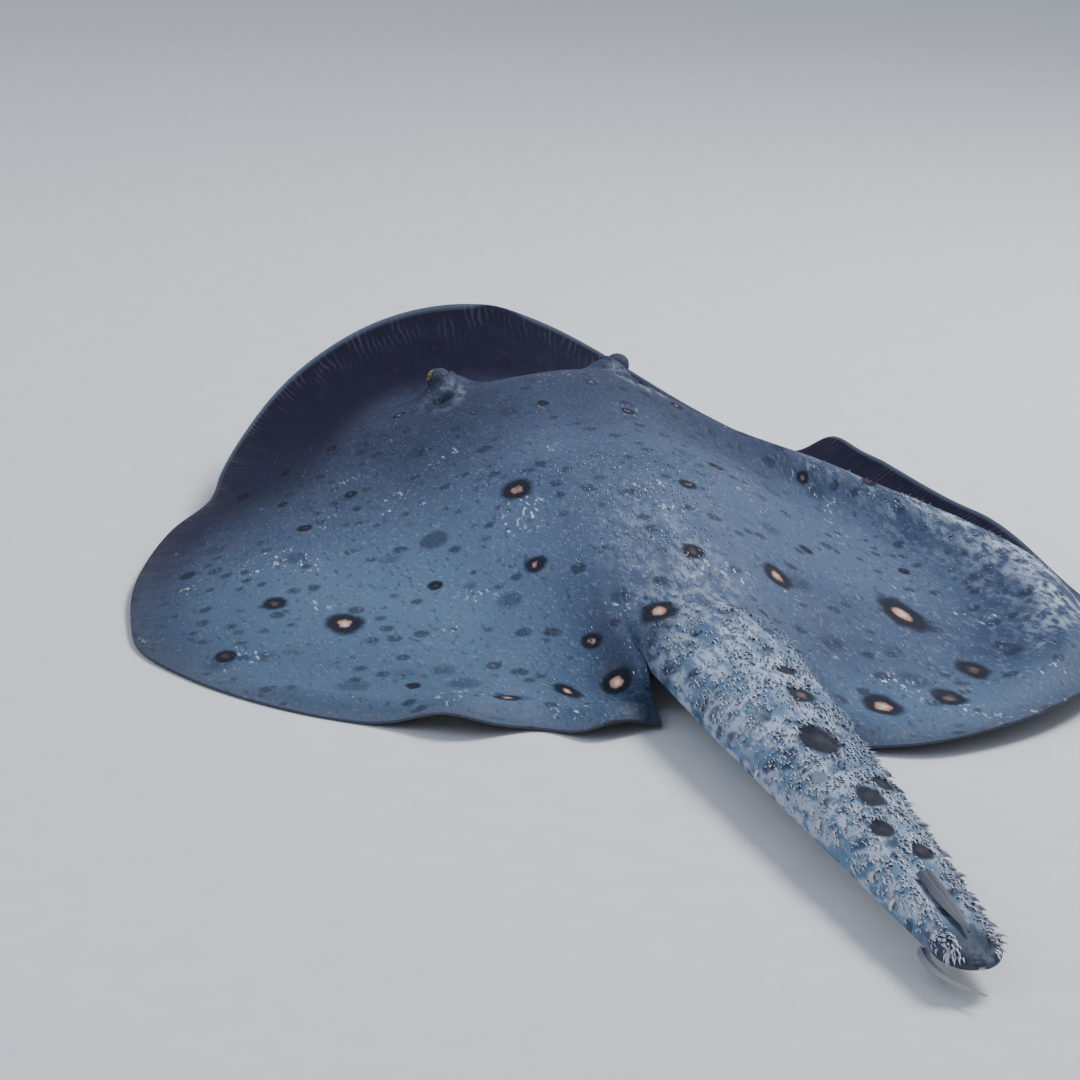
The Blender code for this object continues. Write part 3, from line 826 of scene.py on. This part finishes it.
def horn_material(name, foot, tip):
    """Bone-like, from the colour of its foot to that of its tip."""
    horn = Shader(name)
    along = horn.attribute("along")
    grain = horn.noise(horn.attribute("flat", "Vector"), 160.0, 3.0)
    colour = horn.mix(horn.step(along, 0.0, 0.8), foot, tip)
    horn.set("Base Color", horn.lay(colour, shade(0.08, 0.085, 0.10), grain, 0.35))
    horn.set("Roughness", horn.ranged(grain, 0.30, 0.25))
    horn.bump(grain, 0.0002)
    return horn.material


def grow(name, x, y, widths, lengths, leans, sides, rings, material):
    """Joined thorns standing on the upper surface, each bending back towards the tail's tip."""
    here, normal, back = top_frames(x, y)
    across = np.cross(normal, back)
    back = np.cross(across, normal)
    turns = np.arange(sides) * 2 * math.pi / sides
    points, faces, flats, alongs, places = [], [], [], [], []
    for i in range(len(x)):
        start = len(points)
        for k in range(rings + 1):
            t = k / rings
            bend = leans[i] * (0.5 + 0.5 * t)
            centre = here[i] + normal[i] * lengths[i] * (t * math.cos(bend) - 0.10)
            centre = centre + back[i] * lengths[i] * t * math.sin(bend)
            if k == rings:
                points.append(centre)
                alongs.append(1.0)
                places.append((0.0, 0.0))
                continue
            radius = widths[i] / 2 * (1 - t) ** 0.6 * (1 + 0.3 * (1 - t) ** 6)
            for turn in turns:
                points.append(centre + radius * (1.25 * math.cos(turn) * back[i]
                                                 + math.sin(turn) * across[i]))
                alongs.append(t)
                spot = 0.0015 * (1 - t)
                places.append((spot * math.cos(turn), spot * math.sin(turn)))
        faces.append(tuple(start + k for k in reversed(range(sides))))
        for k in range(rings - 1):
            for j in range(sides):
                a = start + k * sides + j
                b = start + k * sides + (j + 1) % sides
                faces.append((a, b, b + sides, a + sides))
        last = start + (rings - 1) * sides
        faces += [(last + j, last + (j + 1) % sides, len(points) - 1) for j in range(sides)]
        flats += [(x[i] + 0.05 * i, y[i], 0)] * (len(points) - start)
    made = add_mesh(name, points, faces, material, 70)
    add_vectors(made, "flat", flats)
    add_values(made, "along", alongs)
    each = sides * rings + 1
    root = np.repeat(bake_place(x, y, np.zeros(len(x), bool)), each, axis=0)
    root[:, 0] = root[:, 0] * 2
    add_bake_map(made, root + np.array(places))
    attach(made, "root")


def bare(x, y):
    """Whether denticles leave this place free."""
    in_groove = abs(x) < 0.012 and y < STING_ROOT + 0.01
    on_spot = any(math.hypot(x - o[0], (y - o[1]) / o[4]) < 0.9 * o[2] for o in OCELLI)
    return in_groove or on_spot or spiracle_ring(x, y) < 1.3


THORN_WIDTH = 0.0032
THORN_LENGTH = 0.0068
THORN_ROWS = (  # place across the tail, where it starts, mean gap
    (-0.93, -0.66, 0.026), (0.93, -0.69, 0.017), (-0.55, -0.62, 0.040),
    (0.60, -0.60, 0.030), (0.05, -0.60, 0.045),
)


def make_thorns():
    """Large hooked thorns in rough rows along the tail, largest on the flanks behind."""
    dice = random.Random(3)
    x, y, widths, lengths, leans = [], [], [], [], []
    for row, first, gap in THORN_ROWS:
        at = first
        while at > TAIL_TIP + 0.012:
            across = (row + dice.uniform(-0.10, 0.05)) * float(tail_half_width(at))
            if not bare(across, at):
                size = dice.uniform(0.55, 1.15) * (1.0 if abs(row) > 0.8 else 0.65)
                x.append(across)
                y.append(at)
                widths.append(THORN_WIDTH * size)
                lengths.append(THORN_LENGTH * size)
                leans.append(dice.uniform(45, 85) * DEG)
            at -= gap * dice.uniform(0.5, 1.6)
    material = horn_material("thorn", shade(0.22, 0.24, 0.30), shade(0.52, 0.52, 0.54))
    grow("thorns", np.array(x), np.array(y), widths, lengths, leans, 10, 7, material)


DENTICLE_WIDTH = 0.0010
DENTICLE_LENGTH = 0.0040
ON_TAIL, ON_BACK, ON_WINGS, ON_CREST = 7600, 1600, 1500, 5200   # tries, of which some are kept


def clump(x, y, size):
    """Between 0 and 1, high in irregular clumps of about this size."""
    value = noise.noise(Vector((x / size, y / size, 0.0)))
    return float(smooth(value, -0.25, 0.30))


def make_denticles():
    """Small flat prickles: dense on the tail, thinner on the back, a few on the wings."""
    dice = random.Random(5)
    x, y, sizes = [], [], []

    def put(px, py, size):
        if not bare(px, py):
            x.append(px)
            y.append(py)
            sizes.append(size)

    for _ in range(ON_TAIL):
        py = dice.uniform(TAIL_TIP + 0.004, -0.34)
        px = dice.uniform(-0.99, 0.99) * float(tail_half_width(py))
        chance = float(smooth(-py, 0.34, 0.54)) * (0.25 + 0.75 * clump(px, py, 0.02))
        if dice.random() < chance:
            put(px, py, dice.uniform(0.4, 1.0) + 0.7 * dice.random() ** 5)
    for _ in range(ON_BACK):
        py = dice.uniform(-0.44, -0.05)
        px = dice.gauss(0, 0.032 + 0.05 * max(0, py + 0.3))
        if dice.random() < 0.2 + 0.8 * clump(px, py, 0.03):
            put(px, py, dice.uniform(0.3, 0.7))
    for _ in range(ON_WINGS):
        angle = dice.uniform(-math.pi, math.pi)
        radius = math.sqrt(dice.uniform(0.03, 0.90)) * float(envelope(angle))
        px, py = radius * math.sin(angle), radius * math.cos(angle)
        kept = dice.random() < 0.15 + 0.85 * clump(px, py, 0.05)
        if kept and not (abs(px) < 0.08 and py < -0.38) and curl_pigment_and_painted_shade(px, py) < 0.2:
            put(px, py, dice.uniform(0.25, 0.55))
    for _ in range(ON_CREST):
        angle = dice.uniform(40, 135) * DEG
        radius = dice.uniform(0.50, 0.97) * float(envelope(angle))
        px, py = radius * math.sin(angle), radius * math.cos(angle)
        if dice.random() < crest_line(px, py) ** 2 * clump(px, py, 0.03):
            put(px, py, dice.uniform(0.3, 0.75))
    widths = [DENTICLE_WIDTH * s for s in sizes]
    lengths = [DENTICLE_LENGTH * s for s in sizes]
    leans = [dice.uniform(42, 88) * DEG for _ in sizes]
    material = horn_material("denticle", shade(0.30, 0.34, 0.43), shade(0.66, 0.70, 0.78))
    grow("denticles", np.array(x), np.array(y), widths, lengths, leans, 4, 2, material)


# ---------------------------------------------------------------- stings

def blade(name, route, half_widths, half_depths, teeth, material):
    """A flattened spine with a grooved back and barbed edges, along a route."""
    points, faces, alongs, flats = [], [], [], []
    count = len(route)
    profile = ((-1.0, 0.0), (-0.72, 0.55), (-0.34, 0.95), (-0.10, 0.62), (0.10, 0.62),
               (0.34, 0.95), (0.72, 0.55), (1.0, 0.0), (0.6, -0.8), (0.0, -1.0), (-0.6, -0.8))
    sides = len(profile)
    for i, centre in enumerate(route):
        along = i / (count - 1)
        barb = 1 + teeth * (1 - (i * 0.5) % 1.0) * smooth(along, 0.2, 0.4) * (along < 0.97)
        for px, pz in profile:
            edge = barb if abs(px) > 0.9 else 1.0
            points.append((centre[0] + px * edge * half_widths[i], centre[1],
                           centre[2] + pz * half_depths[i]))
            alongs.append(along)
            flats.append((px * 0.2, along, 0))
    faces.append(tuple(range(sides)))
    for i in range(count - 1):
        for k in range(sides):
            a, b = i * sides + k, i * sides + (k + 1) % sides
            faces.append((b, a, a + sides, b + sides))
    last = (count - 1) * sides
    faces.append(tuple(last + k for k in reversed(range(sides))))
    made = add_mesh(name, np.array(points) * DISC_WIDTH + SHIFT, faces, material, 40)
    add_vectors(made, "flat", flats)
    add_values(made, "along", alongs)
    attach(made, "root")
    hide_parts(name)


def make_stings():
    shares = np.linspace(0, 1, 60)
    y = STING_ROOT + (STING_TIP - STING_ROOT) * shares
    back = heights(0 * y, y, True)[0]
    half_depths = STING_THICK / 2 * (1 - 0.7 * shares)
    route = np.stack([0 * y, y, back + half_depths + 0.0016 + 0.002 * shares], axis=-1)
    half_widths = STING_WIDTH / 2 * (1 - shares ** 2.2) + 0.0008
    dark = horn_material("sting", shade(0.035, 0.042, 0.065), shade(0.09, 0.10, 0.13))
    blade("sting", route, half_widths, half_depths, 0.22, dark)

    reach = OLD_STING_LENGTH * shares
    inward = 9.0 * reach ** 2 - 0.33 * reach
    route = np.array(OLD_STING_ROOT) + np.stack([inward, -reach, -0.05 * reach], axis=-1)
    bone = horn_material("old_sting", shade(0.22, 0.23, 0.28), shade(0.50, 0.48, 0.47))
    blade("old_sting", route, 0.0042 * (1 - shares ** 1.6) + 0.0007,
          0.0034 * (1 - shares ** 1.6) + 0.0007, 0.10, bone)


# ---------------------------------------------------------------- eyes

def eye_material():
    """A dark crescent pupil in a speckled golden iris; the rest is coloured as skin."""
    eye = Shader("eye")
    look = eye.attribute("look", "Vector")
    off_axis = eye.attribute("off_axis")
    grain = eye.noise(look, 9.0, 4.0)
    lid = eye.mix(eye.step(grain, 0.35, 0.65),
                  shade(0.014, 0.019, 0.038), shade(0.050, 0.066, 0.112))
    iris = eye.mix(eye.step(grain, 0.35, 0.70),
                   shade(0.10, 0.055, 0.020), shade(0.42, 0.27, 0.09))
    colour = eye.mix(eye.step(off_axis, 36.0, 40.0), iris, lid)
    pupil = eye.attribute("pupil")
    colour = eye.mix(eye.step(pupil, 0.40, 0.60), colour, shade(0.004, 0.004, 0.005))
    rim = eye.times(eye.step(off_axis, 33.0, 37.0),
                    eye.inverse(eye.step(off_axis, 38.0, 43.0)))
    eye.set("Base Color", eye.mix(rim, colour, shade(0.010, 0.009, 0.010)))
    eye.set("Roughness", eye.ranged(eye.step(off_axis, 34.0, 46.0), 0.75, 0.05))
    eye.set("IOR", 1.38)
    return eye.material


def make_eyes():
    material = eye_material()
    for side, name in ((-1, "left_eye"), (1, "right_eye")):
        low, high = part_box(name)
        centre = np.array((low + high) / 2)
        radius = (high.x - low.x) / 2
        gaze = Vector((side * 0.86, 0.22, 0.40)).normalized()
        turned = gaze.to_track_quat("Z", "Y").to_matrix()
        points, faces, looks = [], [], []
        rings, sides = 40, 56
        for i in range(rings + 1):
            polar_angle = math.pi * i / rings
            cornea = 1 + 0.07 * math.exp(-(polar_angle / (30 * DEG)) ** 4)
            for k in range(sides):
                turn = 2 * math.pi * k / sides
                way = Vector((math.sin(polar_angle) * math.cos(turn),
                              math.sin(polar_angle) * math.sin(turn), math.cos(polar_angle)))
                points.append(centre + np.array(turned @ way) * radius * cornea)
                looks.append(tuple(way))
        for i in range(rings):
            for k in range(sides):
                a, b = i * sides + k, i * sides + (k + 1) % sides
                c, d = a + sides, b + sides
                if i == 0:
                    faces.append((0, c, d))
                elif i == rings - 1:
                    faces.append((a, rings * sides, b))
                else:
                    faces.append((a, c, d, b))
        looks = np.array(looks)
        made = add_mesh(name, points, faces, material, 180)
        add_vectors(made, "look", looks)
        add_values(made, "off_axis", np.degrees(np.arccos(np.clip(looks[:, 2], -1, 1))))
        lying = np.hypot(looks[:, 0] / 0.40, (looks[:, 1] + 0.02) / 0.24)
        flap = np.hypot(looks[:, 0] / 0.28, (looks[:, 1] - 0.16) / 0.20)
        pupil = (1 - smooth(lying, 0.8, 1.2)) * smooth(flap, 0.8, 1.2) * (looks[:, 2] > 0)
        add_values(made, "pupil", pupil)
        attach(made, "root")
        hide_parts(name)


# ---------------------------------------------------------------- stage, light, camera

FLOOR_REACH = 12.0
DAYLIGHT = shade(0.80, 0.86, 1.0)
DAYLIGHT_STRENGTH = 0.60

CAMERA_PLACE = (-0.771, -2.623, 0.860)      # in disc widths, from the middle of the disc
CAMERA_YAW, CAMERA_PITCH, CAMERA_ROLL = 15.25 * DEG, 17.0 * DEG, 2.5 * DEG
SENSOR_WIDTH, FOCAL_LENGTH = 36.0, 94.3     # in mm


def add_area(name, place, size, power, colour):
    """A round lamp that shines at the origin."""
    light = bpy.data.lights.new(name, "AREA")
    light.shape = "DISK"
    light.size = size
    light.energy = power
    light.color = colour
    made = bpy.data.objects.new(name, light)
    made.location = place
    made.rotation_mode = "QUATERNION"
    made.rotation_quaternion = (-Vector(place)).to_track_quat("-Z", "Y")
    bpy.context.scene.collection.objects.link(made)


def make_stage():
    floor = Shader("floor")
    speckle = floor.noise(floor.node("TexCoord").outputs["Object"], 60.0, 5.0)
    colour = floor.mix(speckle, shade(0.60, 0.62, 0.66), shade(0.72, 0.73, 0.75))
    floor.set("Base Color", colour)
    floor.set("Roughness", 0.85)
    signs = ((-1, -1), (1, -1), (1, 1), (-1, 1))
    corners = [(FLOOR_REACH * a, FLOOR_REACH * b, 0) for a, b in signs]
    add_mesh("floor", corners, [(0, 1, 2, 3)], floor.material)

    world = bpy.data.worlds.new("studio")
    world.use_nodes = True
    backdrop = world.node_tree.nodes["Background"]
    backdrop.inputs["Color"].default_value = DAYLIGHT
    backdrop.inputs["Strength"].default_value = DAYLIGHT_STRENGTH
    bpy.context.scene.world = world
    add_area("key", (1.05, 0.35, 1.7), size=0.8, power=44, colour=(1, 1, 1))
    add_area("fill", (-1.6, -0.6, 1.5), size=1.8, power=10, colour=(0.80, 0.90, 1.0))


def make_camera():
    """Behind the animal and to its left, low, about 1.4 m away."""
    flat = math.cos(CAMERA_PITCH)
    forward = Vector((math.sin(CAMERA_YAW) * flat, math.cos(CAMERA_YAW) * flat,
                      -math.sin(CAMERA_PITCH)))
    level = Vector((math.cos(CAMERA_YAW), -math.sin(CAMERA_YAW), 0))
    above = level.cross(forward)
    right = level * math.cos(CAMERA_ROLL) + above * math.sin(CAMERA_ROLL)
    up = above * math.cos(CAMERA_ROLL) - level * math.sin(CAMERA_ROLL)
    camera = bpy.data.cameras.new("camera")
    camera.sensor_width = SENSOR_WIDTH
    camera.lens = FOCAL_LENGTH
    made = bpy.data.objects.new("camera", camera)
    place = Vector(CAMERA_PLACE) * DISC_WIDTH + Vector(SHIFT)
    turned = Matrix((right, up, -forward)).transposed().to_4x4()
    made.matrix_world = Matrix.Translation(place) @ turned
    bpy.context.scene.collection.objects.link(made)
    bpy.context.scene.camera = made


make_skin()
make_thorns()
make_denticles()
make_stings()
make_eyes()
make_stage()
make_camera()
